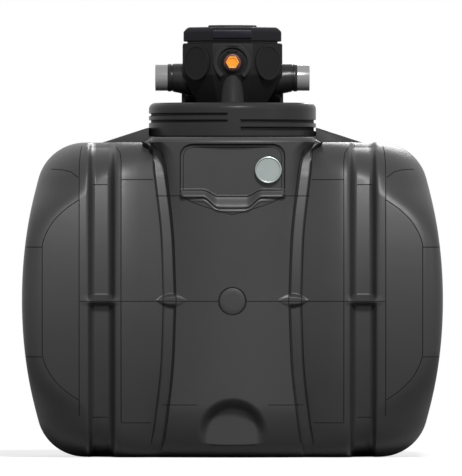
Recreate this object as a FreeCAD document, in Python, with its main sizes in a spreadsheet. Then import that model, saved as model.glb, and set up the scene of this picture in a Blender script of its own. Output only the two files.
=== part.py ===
import FreeCAD
import Part
import Sketcher
import os
import re

# Underground water tank: a moulded shell in two halves, a round neck with bayonet grooves, and a filter
# housing with a lid and two pipe stubs. Millimetres, +Z up, -Y is the front, the origin is at the centre
# of the base.

SIZES = {
    # Tank shell
    "tank_length": 1760,
    "tank_depth": 1300,
    "tank_height": 1320,
    "wall_thickness": 8,
    "band_half_height": 126,
    "knee_half_height": 230,
    "knee_draft": 11,
    "shoulder_half_height": 376,
    "shoulder_draft": 36,
    "roof_inset": 260,
    "edge_radius": 200,
    "edge_start_angle": 10,
    "band_corner_radius": 86,
    "knee_corner_radius": 76,
    "shoulder_corner_radius": 143,
    "edge_corner_radius": 275,
    "roof_corner_radius": 219,
    "end_seam": 640,
    "wall_seam": 500,
    # Upright centre panel of the front and back walls, and the step that carries the neck above it
    "panel_waist": 235,
    "panel_bow_radius": 3530,
    "panel_rise": 21,
    "panel_rise_bevel": 26,
    "panel_foot_radius": 222,
    # Grooves that stiffen the walls, and the webs that bridge them at the parting line
    "rib_groove_place": 552,
    "rib_groove_mouth": 176,
    "rib_groove_floor": 46,
    "rib_groove_depth": 42,
    "rib_web_half_height": 21,
    "waist_groove_mouth": 54,
    "waist_groove_floor": 20,
    "waist_groove_depth": 14,
    "waist_web_half_height": 32,
    # Arched pocket at the foot of the centre panel
    "arch_half_width": 151,
    "arch_top": 251,
    "arch_foot": 10,
    "arch_depth": 78,
    "arch_slope": 54,
    # Label pad, its round plate and the disc on the parting line
    "pad_half_width": 218,
    "pad_height": 190,
    "pad_drop": 10,
    "pad_corner_radius": 55,
    "pad_dip": 28,
    "pad_depth": 15,
    "plate_radius": 56,
    "plate_thickness": 6,
    "plate_place": 150,
    "plate_drop": 107,
    "disc_radius": 56,
    "disc_thickness": 6,
    "disc_clearance": 2,
    # Neck
    "neck_opening_radius": 300,
    "collar_radius": 352,
    "collar_wall": 14,
    "collar_height": 133,
    "bayonet_depth": 6,
    "bayonet_width": 9,
    "bayonet_pitch": 28,
    "bayonet_high": 62,
    "bayonet_low": 34,
    "bayonet_angle": 74,
    "cover_thickness": 14,
    "cover_bevel": 9,
    "ramp_reach": 546,
    "ramp_rise": 63,
    "ramp_half_width": 150,
    "ramp_clearance": 0.5,
    # Filter housing, eight-sided
    "housing_half_width": 210,
    "housing_foot_half_width": 147,
    "housing_wall": 6,
    "housing_taper_height": 116,
    "housing_height": 134,
    "housing_rim_width": 45,
    "housing_rim_height": 12,
    "rim_radius": 214,
    "rim_wall": 14,
    "rim_height": 40,
    "blank_radius": 74,
    "blank_thickness": 8,
    "blank_height": 52,
    "boss_radius": 80,
    "boss_thickness": 10,
    "boss_ring_radius": 60,
    "boss_ring_thickness": 8,
    "plug_radius": 28.5,
    "plug_thickness": 24,
    "riser_radius": 46,
    "riser_place": 163,
    # Lid
    "seal_half_width": 181,
    "seal_wall": 12,
    "seal_thickness": 8,
    "lid_half_width": 206,
    "lid_top_half_width": 181,
    "lid_side_height": 38,
    "lid_bevel_height": 22,
    "lid_centre_radius": 103,
    "lid_centre_thickness": 9,
    "latch_width": 168,
    "latch_height": 33,
    "latch_thickness": 12,
    "latch_lift": 13,
    # Inlet and outlet
    "pipe_radius": 55,
    "pipe_wall": 3.2,
    "pipe_seat_step": 1,
    "spigot_gap": 1,
    "pipe_reach": 325,
    "pipe_height": 106,
    "sleeve_radius": 60,
    "sleeve_start": 160,
    "sleeve_end": 259,
    "ring_radius": 64,
    "ring_width": 14,
}

FACING = {
    "up": FreeCAD.Rotation(),
    "front": FreeCAD.Rotation(FreeCAD.Vector(1, 0, 0), 90),
    "right": FreeCAD.Rotation(FreeCAD.Vector(0, 1, 0), 90),
}
EIGHT_SIDES = 8
HALF_SIDE_ANGLE = 180 / EIGHT_SIDES
OVERCUT = 40
ROUNDING_STEPS = 4

doc = FreeCAD.newDocument("underground_water_tank")
sheet = doc.addObject("Spreadsheet::Sheet", "sizes")
for row, (size_name, size) in enumerate(SIZES.items(), start=1):
    sheet.set(f"A{row}", f"'{size_name}")
    sheet.set(f"B{row}", str(size))
    sheet.setAlias(f"B{row}", size_name)
doc.recompute()

# Heights that several pieces share
MIDDLE = "tank_height / 2"
PANEL_FRONT = "(tank_depth / 2)"
PANEL_TOP = "(tank_height + panel_rise)"
PAD_TOP = "(tank_height - pad_drop)"
PAD_BOTTOM = f"({PAD_TOP} - pad_height)"
PLATE_AXIS = f"({PAD_TOP} - plate_drop)"
COLLAR_TOP = f"({PANEL_TOP} + collar_height)"
COVER_TOP = f"({COLLAR_TOP} + cover_thickness)"
TAPER_TOP = f"({COVER_TOP} + housing_taper_height)"
HOUSING_TOP = f"({TAPER_TOP} + housing_height)"
SEAL_TOP = f"({HOUSING_TOP} + seal_thickness)"
LID_SHOULDER = f"({SEAL_TOP} + lid_side_height)"
LID_TOP = f"({LID_SHOULDER} + lid_bevel_height)"
PIPE_AXIS = f"({COVER_TOP} + pipe_height)"
BLANK_AXIS = f"({TAPER_TOP} + blank_height)"


def formula(text):
    """Write the size names in a formula as references to the sheet."""
    return re.sub(r"[a-z_]+", lambda word: f"sizes.{word[0]}" if word[0] in SIZES else word[0], str(text))


def number(text):
    """Work out a formula."""
    return float(sheet.evalExpression(str(text)))


def bind(item, **formulas):
    """Tie properties of an object to formulas; x, y and z stand for its place."""
    places = {"x": "Placement.Base.x", "y": "Placement.Base.y", "z": "Placement.Base.z"}
    for name, text in formulas.items():
        item.setExpression(places.get(name, name), formula(text))
    return item


def box(name, x, y, z):
    """Make a block from three pairs of formulas, low and high."""
    item = doc.addObject("Part::Box", name)
    bind(item, Length=f"({x[1]}) - ({x[0]})", Width=f"({y[1]}) - ({y[0]})", Height=f"({z[1]}) - ({z[0]})")
    return bind(item, x=x[0], y=y[0], z=z[0])


def cylinder(name, radius, height, x=0, y=0, z=0, facing="up", angle=360):
    """Make a cylinder that starts at a place and runs up, to the front or to the right."""
    item = doc.addObject("Part::Cylinder", name)
    item.Placement.Rotation = FACING[facing]
    return bind(item, Radius=radius, Height=height, Angle=angle, x=x, y=y, z=z)


def octagon(name, half_width, level):
    """Make an eight-sided outline with a flat side to the front."""
    item = doc.addObject("Part::RegularPolygon", name)
    item.Polygon = EIGHT_SIDES
    item.Placement.Rotation = FreeCAD.Rotation(FreeCAD.Vector(0, 0, 1), HALF_SIDE_ANGLE)
    return bind(item, Circumradius=f"({half_width}) / cos({HALF_SIDE_ANGLE})", z=level)


def loft(name, sections):
    """Join outlines by straight-sided skins into one solid."""
    item = doc.addObject("Part::Loft", name)
    item.Sections = sections
    item.Solid = True
    item.Ruled = True
    item.Linearize = True
    return item


def octagon_loft(name, steps):
    """Make an eight-sided solid from its half widths and heights."""
    outlines = [octagon(f"{name}_outline_{index}", *step) for index, step in enumerate(steps)]
    return loft(name, outlines)


def fuse(name, items):
    """Join solids into one."""
    item = doc.addObject("Part::MultiFuse", name)
    item.Shapes = items
    item.Refine = True
    return item


def group(name, items):
    """Keep solids that don't touch as one set of cutters."""
    item = doc.addObject("Part::Compound", name)
    item.Links = items
    return item


def cut(name, base, *tools):
    """Take solids away from a base."""
    item = doc.addObject("Part::Cut", name)
    item.Base = base
    item.Tool = tools[0] if len(tools) == 1 else group(f"{name}_tools", list(tools))
    return item


def common(name, base, tool):
    """Keep what two solids share."""
    item = doc.addObject("Part::Common", name)
    item.Base = base
    item.Tool = tool
    return item


def mirror(name, source, normal, level=0):
    """Mirror a solid in a plane square to an axis, through a height for the level plane."""
    item = doc.addObject("Part::Mirroring", name)
    item.Source = source
    item.Normal = FreeCAD.Vector(*normal)
    item.setExpression("Base.z", formula(level))
    return item


def both(name, right, normal):
    """Join a solid to its mirror image across the plane through the axis."""
    return fuse(name, [right, mirror(f"{name}_image", right, normal)])


def size_constraint(sketch, kind, place, text):
    """Add a size to a sketch and tie it to a formula."""
    index = sketch.addConstraint(Sketcher.Constraint(kind, *place, number(text)))
    sketch.renameConstraint(index, f"size_{index}")
    sketch.setExpression(f"Constraints.size_{index}", formula(text))


def outline_sketch(name, corners, facing="up", turns=None, **place):
    """Sketch a closed outline: each corner a pair of formulas, straight edges except the turns, which are
    arcs given by the number of their first corner and their radius."""
    turns = turns or {}
    sketch = doc.addObject("Sketcher::SketchObject", name)
    sketch.Placement.Rotation = FACING[facing]
    bind(sketch, **place)
    points = [FreeCAD.Vector(number(across), number(along), 0) for across, along in corners]
    for index, start in enumerate(points):
        end = points[(index + 1) % len(points)]
        if index in turns:
            sketch.addGeometry(arc_between(start, end, number(turns[index])))
        else:
            sketch.addGeometry(Part.LineSegment(start, end))
    for index, (across, along) in enumerate(corners):
        before = (index - 1) % len(corners)
        sketch.addConstraint(Sketcher.Constraint("Coincident", before, 2, index, 1))
        size_constraint(sketch, "DistanceX", (index, 1), across)
        size_constraint(sketch, "DistanceY", (index, 1), along)
    for index, radius in turns.items():
        size_constraint(sketch, "Radius", (index,), radius)
    return sketch


def arc_between(start, end, radius):
    """Give the arc that turns left from one point to another."""
    chord = end - start
    middle = (start + end) / 2
    left = FreeCAD.Vector(-chord.y, chord.x, 0) / chord.Length
    rise = (radius ** 2 - chord.Length ** 2 / 4) ** 0.5
    return Part.Arc(start, middle + left * (rise - radius), end)


def plan_trapezoid(name, centre, half_front, half_back, front, back, level):
    """Sketch a plan trapezoid, its front edge towards -Y."""
    corners = [
        (f"{centre} - ({half_front})", f"-({front})"),
        (f"{centre} + ({half_front})", f"-({front})"),
        (f"{centre} + ({half_back})", f"-({back})"),
        (f"{centre} - ({half_back})", f"-({back})"),
    ]
    return outline_sketch(name, corners, z=level)


def panel_half_width(rise):
    """Give the formula of the centre panel's half width, least at the parting line and bowed above it."""
    return f"panel_waist + ({rise}) ^ 2 / (2 * panel_bow_radius)"


def rounding_inset(radius, rise, inset):
    """Give the formula of how far an upright wall, or its inner side, is drawn in by its rounding."""
    inner = f"({radius} - {inset})"
    over = f"max(0; {rise} - ({MIDDLE} - {radius}))"
    return f"({inner} - sqrt(max(0; {inner} ^ 2 - {over} ^ 2)))"


def shell_levels(inset):
    """Give the shell's levels from the parting line up: draft, corner radius and rise above that line."""
    levels = [
        ("0", "band_corner_radius", "0"),
        ("0", "band_corner_radius", "band_half_height"),
        ("knee_draft", "knee_corner_radius", "knee_half_height"),
        ("shoulder_draft", "shoulder_corner_radius", "shoulder_half_height"),
    ]
    for step in range(ROUNDING_STEPS + 1):
        share = f"{step} / {ROUNDING_STEPS}"
        turn = f"((edge_start_angle + (90 - edge_start_angle) * {share}) * 1 deg)"
        draft = f"(roof_inset - edge_radius * cos({turn}))"
        corner = f"(edge_corner_radius + (roof_corner_radius - edge_corner_radius) * {share})"
        rise = f"({MIDDLE} - edge_radius + (edge_radius - {inset}) * sin({turn}))"
        levels.append((draft, corner, rise))
    return levels


def shell_eighth(name, inset, rounded_foot):
    """Make the upper right front eighth of the shell, pulled in by a skin, or the lower one turned over,
    whose centre panel ends in a rounded foot. The walls beside the panel lean in and end in a rounding."""
    outlines = []
    for index, (draft, corner, rise) in enumerate(shell_levels(inset)):
        half_x = f"(tank_length / 2 - {draft} - {inset})"
        half_y = f"(tank_depth / 2 - {draft} - {inset})"
        radius = f"({corner} - {inset})"
        panel_edge = f"({panel_half_width(rise)} - {inset})"
        panel_fall = rounding_inset("panel_foot_radius", rise, inset) if rounded_foot else "0"
        wall_fall = rounding_inset("edge_radius", rise, inset)
        side_edge = f"min(rib_groove_place - rib_groove_mouth / 2; {half_x} - {radius} - 1)"
        corners = [
            ("0", "0"),
            ("0", f"-({PANEL_FRONT} - {panel_fall} - {inset})"),
            (panel_edge, f"-({PANEL_FRONT} - {panel_fall} - {inset})"),
            (f"{panel_edge} + waist_groove_mouth", f"-({PANEL_FRONT} - {wall_fall} - {inset})"),
            (side_edge, f"-{half_y}"),
            (f"{half_x} - {radius}", f"-{half_y}"),
            (half_x, f"-({half_y} - {radius})"),
            (half_x, "0"),
        ]
        level = f"{MIDDLE} + {rise}"
        outlines.append(outline_sketch(f"{name}_outline_{index}", corners, turns={5: radius}, z=level))
    return loft(name, outlines)


def neck_step(name, inset, foot):
    """Make the right front quarter of the step on the roof that carries the collar, with bevelled sides."""
    half_x = f"({panel_half_width(MIDDLE)} + waist_groove_mouth - {inset})"
    half_y = f"({PANEL_FRONT} - {inset})"
    steps = [("0", foot), ("0", "tank_height"), ("panel_rise_bevel", f"{PANEL_TOP} - {inset}")]
    outlines = []
    for index, (bevel, level) in enumerate(steps):
        front = f"-({half_y} - {bevel})"
        right = f"{half_x} - {bevel}"
        corners = [("0", "0"), ("0", front), (right, front), (right, "0")]
        outlines.append(outline_sketch(f"{name}_outline_{index}", corners, z=level))
    return loft(name, outlines)


def rib_groove(name, skin):
    """Make the cutter of the upright groove, wider and deeper by a skin; it follows the leaning wall."""
    slope = "(rib_groove_mouth - rib_groove_floor) / 2 / rib_groove_depth"
    half_floor = f"rib_groove_floor / 2 + {skin}"
    half_mouth = f"{half_floor} + {slope} * (rib_groove_depth + {skin} + {OVERCUT})"
    levels = shell_levels("0")
    levels[0] = ("0", "0", f"rib_web_half_height - {skin}")
    outlines = []
    for index, (draft, corner, rise) in enumerate(levels):
        wall = f"tank_depth / 2 - {draft}"
        outline = plan_trapezoid(f"{name}_outline_{index}", "rib_groove_place", half_mouth, half_floor,
                                 f"{wall} + {OVERCUT}", f"{wall} - rib_groove_depth - {skin}",
                                 f"{MIDDLE} + {rise}")
        outlines.append(outline)
    return loft(name, outlines)


def waist_groove(name, skin, rounded_foot):
    """Make the cutter of the bowed groove along the centre panel's edge, wider and deeper by a skin."""
    slope = "(waist_groove_mouth - waist_groove_floor) / 2 / waist_groove_depth"
    half_floor = f"waist_groove_floor / 2 + {skin}"
    half_mouth = f"{half_floor} + {slope} * (waist_groove_depth + {skin} + 1)"
    rises = [f"(waist_web_half_height - {skin})"] + [rise for draft, corner, rise in shell_levels("0")[2:]]
    outlines = []
    for index, rise in enumerate(rises):
        centre = f"{panel_half_width(rise)} + waist_groove_mouth / 2"
        fall = rounding_inset("panel_foot_radius", rise, "0") if rounded_foot else "0"
        front = f"{PANEL_FRONT} - {fall} + 1"
        back = f"{PANEL_FRONT} - {fall} - waist_groove_depth - {skin}"
        outline = plan_trapezoid(f"{name}_outline_{index}", centre, half_mouth, half_floor, front, back,
                                 f"{MIDDLE} + {rise}")
        outlines.append(outline)
    return loft(name, outlines)


def arch_sketch(name, shrink, place):
    """Sketch an upright arch with a round head, drawn in by a slope on every side."""
    half = f"(arch_half_width - ({shrink}))"
    foot = f"({shrink} - arch_foot)"
    spring = "(arch_top - arch_half_width)"
    sketch = doc.addObject("Sketcher::SketchObject", name)
    sketch.Placement.Rotation = FACING["front"]
    bind(sketch, y=place)
    right = number(half)
    bottom = number(foot)
    top = number(spring)
    points = ((-right, top), (-right, bottom), (right, bottom), (right, top))
    corners = [FreeCAD.Vector(*point, 0) for point in points]
    for start, end in zip(corners, corners[1:]):
        sketch.addGeometry(Part.LineSegment(start, end))
    sketch.addGeometry(Part.Arc(corners[3], FreeCAD.Vector(0, top + right, 0), corners[0]))
    for line in (0, 1):
        sketch.addConstraint(Sketcher.Constraint("Coincident", line, 2, line + 1, 1))
    sketch.addConstraint(Sketcher.Constraint("Tangent", 2, 2, 3, 1))
    sketch.addConstraint(Sketcher.Constraint("Tangent", 3, 2, 0, 1))
    sketch.addConstraint(Sketcher.Constraint("Vertical", 0))
    sketch.addConstraint(Sketcher.Constraint("Horizontal", 1))
    size_constraint(sketch, "DistanceX", (1, 1), f"-{half}")
    size_constraint(sketch, "DistanceX", (1, 2), half)
    size_constraint(sketch, "DistanceY", (1, 1), foot)
    size_constraint(sketch, "DistanceY", (0, 1), spring)
    return sketch


def arch_pocket(name, skin):
    """Make the cutter of the arched pocket with sloping sides, larger by a skin."""
    mouth = arch_sketch(f"{name}_mouth", f"-{skin}", f"-{PANEL_FRONT} - 1")
    floor = arch_sketch(f"{name}_floor", f"arch_slope - {skin}", f"-{PANEL_FRONT} + arch_depth + {skin}")
    return loft(name, [mouth, floor])


def pad_recess(name, skin):
    """Make the cutter of the label pad: round upper corners and a lower edge that dips in the middle."""
    half = f"(pad_half_width + {skin})"
    low = f"({PAD_BOTTOM} - {skin})"
    high = f"({PAD_TOP} + {skin})"
    turn = f"(pad_corner_radius + {skin})"
    sketch = doc.addObject("Sketcher::SketchObject", f"{name}_outline")
    sketch.Placement.Rotation = FACING["front"]
    bind(sketch, y=f"-{PANEL_FRONT} - 1")
    wide = number(half)
    bottom = number(low)
    top = number(high)
    radius = number(turn)
    points = {
        "left_low": FreeCAD.Vector(-wide, bottom, 0),
        "left_high": FreeCAD.Vector(-wide, top - radius, 0),
        "top_left": FreeCAD.Vector(radius - wide, top, 0),
        "top_right": FreeCAD.Vector(wide - radius, top, 0),
        "right_high": FreeCAD.Vector(wide, top - radius, 0),
        "right_low": FreeCAD.Vector(wide, bottom, 0),
        "dip": FreeCAD.Vector(0, bottom - number("pad_dip"), 0),
    }
    arc_axis = FreeCAD.Vector(0, 0, 1)
    left_turn = Part.Circle(FreeCAD.Vector(radius - wide, top - radius, 0), arc_axis, radius)
    right_turn = Part.Circle(FreeCAD.Vector(wide - radius, top - radius, 0), arc_axis, radius)
    quarter = FreeCAD.Units.Quantity("90 deg").getValueAs("rad").Value
    sketch.addGeometry(Part.LineSegment(points["left_low"], points["left_high"]))
    sketch.addGeometry(Part.ArcOfCircle(left_turn, quarter, 2 * quarter))
    sketch.addGeometry(Part.LineSegment(points["top_left"], points["top_right"]))
    sketch.addGeometry(Part.ArcOfCircle(right_turn, 0, quarter))
    sketch.addGeometry(Part.LineSegment(points["right_high"], points["right_low"]))
    sketch.addGeometry(Part.Arc(points["left_low"], points["dip"], points["right_low"]))
    for first, first_end, second, second_end in ((0, 2, 1, 2), (1, 1, 2, 1), (2, 2, 3, 2), (3, 1, 4, 1)):
        sketch.addConstraint(Sketcher.Constraint("Tangent", first, first_end, second, second_end))
    sketch.addConstraint(Sketcher.Constraint("Coincident", 4, 2, 5, 2))
    sketch.addConstraint(Sketcher.Constraint("Coincident", 5, 1, 0, 1))
    sketch.addConstraint(Sketcher.Constraint("Equal", 1, 3))
    sketch.addConstraint(Sketcher.Constraint("Vertical", 0))
    sketch.addConstraint(Sketcher.Constraint("Vertical", 4))
    sketch.addConstraint(Sketcher.Constraint("Horizontal", 2))
    size_constraint(sketch, "Radius", (1,), turn)
    size_constraint(sketch, "DistanceX", (0, 1), f"-{half}")
    size_constraint(sketch, "DistanceX", (4, 2), half)
    size_constraint(sketch, "DistanceY", (0, 1), low)
    size_constraint(sketch, "DistanceY", (4, 2), low)
    size_constraint(sketch, "DistanceY", (2, 1), high)
    size_constraint(sketch, "Radius", (5,), f"({half} ^ 2 + pad_dip ^ 2) / (2 * pad_dip)")
    pocket = doc.addObject("Part::Extrusion", name)
    pocket.Base = sketch
    pocket.DirMode = "Custom"
    pocket.Dir = FreeCAD.Vector(0, 1, 0)
    pocket.Solid = True
    return bind(pocket, LengthFwd=f"pad_depth + {skin} + 1")


def neck_ramps():
    """Make the two ramps that rise beside the collar and hug it."""
    foot = "(tank_height - wall_thickness)"
    corners = [
        ("ramp_reach", foot),
        ("ramp_reach", "tank_height"),
        ("collar_radius", "tank_height + ramp_rise"),
        ("neck_opening_radius", "tank_height + ramp_rise"),
        ("neck_opening_radius", foot),
    ]
    outline = outline_sketch("ramp_outline", corners, "front", y="ramp_half_width")
    block = doc.addObject("Part::Extrusion", "ramp_block")
    block.Base = outline
    block.DirMode = "Custom"
    block.Dir = FreeCAD.Vector(0, -1, 0)
    block.Solid = True
    bind(block, LengthFwd="ramp_half_width * 2")
    room = cylinder("ramp_room", "collar_radius + ramp_clearance", "collar_height", z=PANEL_TOP)
    neck = cylinder("ramp_neck", "neck_opening_radius", "collar_height", z=foot)
    right = cut("right_ramp", block, room, neck)
    return [right, mirror("left_ramp", right, (1, 0, 0))]


def grooved_wall(name, eighth, room, rounded_foot):
    """Make a hollow upper front wall with its grooves, without pad, pocket or neck step; one with a rounded
    foot is the lower wall turned over."""
    skin = "wall_thickness"
    region = box(f"{name}_region", ("0", "end_seam"), ("-tank_depth", "-wall_seam"), (MIDDLE, "tank_height"))
    outside = cut(f"{name}_outside", common(f"{name}_slice", eighth, region), rib_groove(f"{name}_rib", "0"),
                  waist_groove(f"{name}_waist", "0", rounded_foot))
    inside = cut(f"{name}_inside", room, rib_groove(f"{name}_rib_relief", skin),
                 waist_groove(f"{name}_waist_relief", skin, rounded_foot))
    return both(name, cut(f"{name}_half", outside, inside), (1, 0, 0))


def lined_pocket(name, wall, cutter, relief, room):
    """Sink a pocket into a wall and line it with the wall's own thickness."""
    lining = common(f"{name}_lining", relief, room)
    return cut(name, fuse(f"{name}_backed", [wall, lining]), cutter)


def stepped(name, piece, region):
    """Add the neck step over a piece of the roof, open below, within a region."""
    block = neck_step(f"{name}_block", "0", "tank_height - wall_thickness")
    space = neck_step(f"{name}_space", "wall_thickness", f"tank_height - {OVERCUT}")
    step = both(f"{name}_step", both(f"{name}_half", block, (1, 0, 0)), (0, 1, 0))
    hollow = both(f"{name}_room", both(f"{name}_half_room", space, (1, 0, 0)), (0, 1, 0))
    return cut(name, fuse(f"{name}_raised", [piece, common(f"{name}_part", step, region)]), hollow)


def front_and_back_walls(upper_shell, lower_shell):
    """Make the four walls: pad and disc recess on the front, arched pockets at the foot of both."""
    skin = "wall_thickness"
    upper_plain = grooved_wall("upper_grooved", *upper_shell, False)
    lower_plain = grooved_wall("lower_grooved", *lower_shell, True)
    upper_room = both("upper_room", upper_shell[1], (1, 0, 0))
    lower_room = mirror("lower_room", both("lower_room_turned", lower_shell[1], (1, 0, 0)), (0, 0, 1), MIDDLE)
    turned = mirror("lower_turned", lower_plain, (0, 0, 1), MIDDLE)
    arch = arch_pocket("arch", "0")
    lower = lined_pocket("arched_wall", turned, arch, arch_pocket("arch_relief", skin), lower_room)
    across = ("-tank_length", "tank_length")
    region = box("step_wall_region", across, ("-tank_depth", "-wall_seam"), ("0", PANEL_TOP))
    upper = stepped("stepped_wall", upper_plain, region)
    pad = pad_recess("pad", "0")
    padded = lined_pocket("padded_wall", upper, pad, pad_recess("pad_relief", skin), upper_room)
    pieces = {}
    for name, wall in (("upper_front_wall", padded), ("lower_front_wall", lower)):
        room_depth = f"disc_thickness + {OVERCUT}"
        room_back = f"-{PANEL_FRONT} + disc_thickness"
        disc_room = cylinder(f"{name}_disc_room", "disc_radius + disc_clearance", room_depth, y=room_back,
                             z=MIDDLE, facing="front")
        pieces[name] = cut(name, wall, disc_room)
    pieces["upper_back_wall"] = mirror("upper_back_wall", upper, (0, 1, 0))
    pieces["lower_back_wall"] = mirror("lower_back_wall", lower, (0, 1, 0))
    return pieces


def shell_ends(eighth, room):
    """Make the four quarters of the shell's ends."""
    region = box("end_region", ("end_seam", "tank_length"), ("-tank_depth", "0"), (MIDDLE, "tank_height"))
    half = cut("half_end", common("end_slice", eighth, region), room)
    upper = both("upper_right_end", half, (0, 1, 0))
    lower = mirror("lower_right_end", upper, (0, 0, 1), MIDDLE)
    return {
        "upper_right_end": upper,
        "lower_right_end": lower,
        "upper_left_end": mirror("upper_left_end", upper, (1, 0, 0)),
        "lower_left_end": mirror("lower_left_end", lower, (1, 0, 0)),
    }


def plate(name, eighth, room):
    """Make the level plate between the walls and ends, at the top of a shell."""
    region = box(f"{name}_region", ("0", "end_seam"), ("-wall_seam", "0"), (MIDDLE, "tank_height"))
    quarter = cut(f"{name}_quarter", common(f"{name}_slice", eighth, region), room)
    return both(name, both(f"{name}_half", quarter, (1, 0, 0)), (0, 1, 0))


def roof_and_floor(upper_shell, lower_shell):
    """Make the floor, and the roof with its neck step, ramps and neck opening."""
    across = ("-tank_length", "tank_length")
    step_region = box("step_roof_region", across, ("-wall_seam", "wall_seam"), ("0", PANEL_TOP))
    raised = stepped("stepped_roof", plate("upper_plate", *upper_shell), step_region)
    opening_height = f"panel_rise + 2 * {OVERCUT}"
    opening = cylinder("neck_opening", "neck_opening_radius", opening_height, z=f"tank_height - {OVERCUT}")
    roof = cut("tank_roof", fuse("ramped_roof", [raised] + neck_ramps()), opening)
    floor = mirror("tank_floor", plate("lower_plate", *lower_shell), (0, 0, 1), MIDDLE)
    return {"tank_roof": roof, "tank_floor": floor}


def shell_pieces():
    """Make the shell in pieces, divided at the parting line and at the seams of its ends and walls."""
    skin = "wall_thickness"
    upper_shell = (shell_eighth("upper_eighth", "0", False), shell_eighth("upper_space", skin, False))
    lower_shell = (shell_eighth("lower_eighth", "0", True), shell_eighth("lower_space", skin, True))
    pieces = front_and_back_walls(upper_shell, lower_shell)
    pieces.update(shell_ends(*upper_shell))
    pieces.update(roof_and_floor(upper_shell, lower_shell))
    return pieces


def tube(name, radius, wall, height, **place):
    """Make a round tube."""
    outer = cylinder(f"{name}_outer", radius, height, **place)
    inner = cylinder(f"{name}_bore", f"{radius} - {wall}", height, **place)
    return cut(name, outer, inner)


def bayonet_grooves():
    """Make the cutters of the collar's grooves: two in each quarter, alternately high and low."""
    quarters = 4
    grooves = []
    for quarter in range(quarters):
        start = "bayonet_high" if quarter % 2 else "bayonet_low"
        for step in range(2):
            name = f"bayonet_{quarter}_{step}"
            level = f"{PANEL_TOP} + {start} + bayonet_pitch * {step}"
            turn = FreeCAD.Rotation(FreeCAD.Vector(0, 0, 1), quarter * 360 / quarters - 85)
            rings = []
            for reach in (f"+ {OVERCUT}", "- bayonet_depth"):
                ring_name = f"{name}_ring_{len(rings)}"
                ring = cylinder(ring_name, f"collar_radius {reach}", "bayonet_width", z=level,
                                angle="bayonet_angle")
                ring.Placement.Rotation = turn
                rings.append(ring)
            grooves.append(cut(name, *rings))
    return grooves


def neck_cover():
    """Make the round cover with a bevelled rim and a hole for the housing's foot."""
    body = doc.addObject("PartDesign::Body", "neck_cover")
    plane = next(item for item in body.Origin.OriginFeatures if item.Role == "XY_Plane")
    features = {}
    hole_radius = "housing_foot_half_width - housing_wall"
    for name, radius in (("cover_disc", "collar_radius"), ("cover_hole", hole_radius)):
        sketch = body.newObject("Sketcher::SketchObject", f"{name}_outline")
        sketch.AttachmentSupport = [(plane, "")]
        sketch.MapMode = "FlatFace"
        sketch.addGeometry(Part.Circle(FreeCAD.Vector(), FreeCAD.Vector(0, 0, 1), number(radius)))
        sketch.addConstraint(Sketcher.Constraint("Coincident", 0, 3, -1, 1))
        size_constraint(sketch, "Radius", (0,), radius)
        features[name] = sketch
    disc = body.newObject("PartDesign::Pad", "cover_disc")
    disc.Profile = features["cover_disc"]
    bind(disc, Length="cover_thickness")
    doc.recompute()
    numbered = enumerate(disc.Shape.Edges, start=1)
    middle = number("cover_thickness") / 2
    rim = body.newObject("PartDesign::Chamfer", "cover_rim")
    rim.Base = (disc, [f"Edge{index}" for index, edge in numbered if edge.BoundBox.ZMin > middle])
    bind(rim, Size="cover_bevel")
    hole = body.newObject("PartDesign::Pocket", "cover_hole")
    hole.Profile = features["cover_hole"]
    hole.Reversed = True
    hole.Type = "ThroughAll"
    body.Tip = hole
    return bind(body, z=COLLAR_TOP)


def neck_pieces():
    """Make the grooved collar and the cover that closes it."""
    ring = tube("collar_ring", "collar_radius", "collar_wall", "collar_height", z=PANEL_TOP)
    return {"neck_collar": cut("neck_collar", ring, *bayonet_grooves()), "neck_cover": neck_cover()}


def pipe_pieces(side, sign):
    """Make one pipe stub with its sleeve and rubber ring; the sign says which way it points. The pipe is
    a step thinner where it sits in the sleeve and the ring."""
    seat = "(pipe_radius - pipe_seat_step)"
    bore = "(pipe_radius - pipe_wall)"
    ring_end = "(sleeve_end + ring_width)"
    spigot = f"({ring_end} + spigot_gap)"
    spans = {
        f"{side}_sleeve": ("sleeve_radius", seat, "sleeve_start", "sleeve_end"),
        f"{side}_ring": ("ring_radius", seat, "sleeve_end", ring_end),
        f"{side}_seat": (seat, bore, "sleeve_start", spigot),
        f"{side}_spigot": ("pipe_radius", bore, spigot, "pipe_reach"),
    }
    tubes = {}
    for name, (radius, inner, start, end) in spans.items():
        place = start if sign > 0 else f"-({end})"
        tubes[name] = tube(name, radius, f"({radius} - {inner})", f"{end} - {start}", x=place, z=PIPE_AXIS,
                           facing="right")
    pipe = fuse(f"{side}_pipe", [tubes.pop(f"{side}_seat"), tubes.pop(f"{side}_spigot")])
    return {**tubes, f"{side}_pipe": pipe}


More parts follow.
